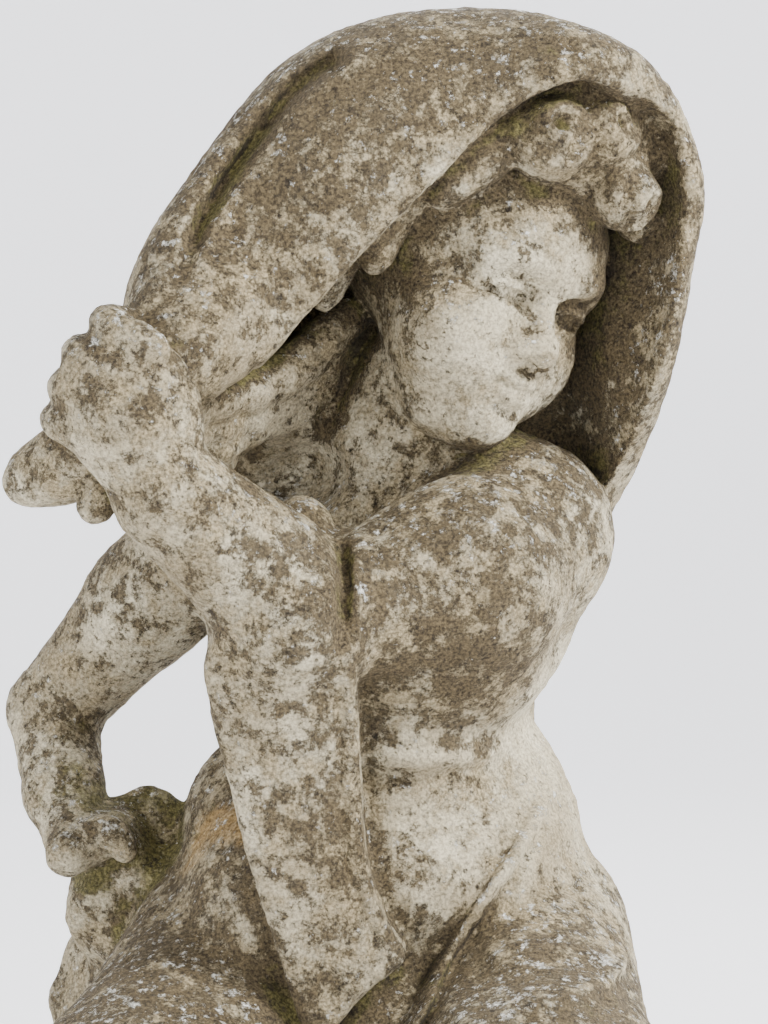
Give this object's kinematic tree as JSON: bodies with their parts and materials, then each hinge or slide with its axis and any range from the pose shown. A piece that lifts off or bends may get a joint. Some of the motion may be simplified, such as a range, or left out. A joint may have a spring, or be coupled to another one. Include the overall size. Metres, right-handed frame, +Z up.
{
  "type": "stone putto statue",
  "caption": "Weathered carved limestone child seated on a mossy rock, drawing a hooded cloak over its head, on a low base.",
  "frame": {"origin": "on the flat underside of the base, below the child's trunk", "axes": "+Z up, -Y the way the child's chest faces, +X the child's left"},
  "size_m": [0.3959, 0.3831, 0.8798],
  "materials": {
    "limestone": "weathered carved limestone, mottled with lichen and moss, rough and dull"
  },
  "bodies": {
    "root": {"putto": "limestone"}
  },
  "joints": []
}
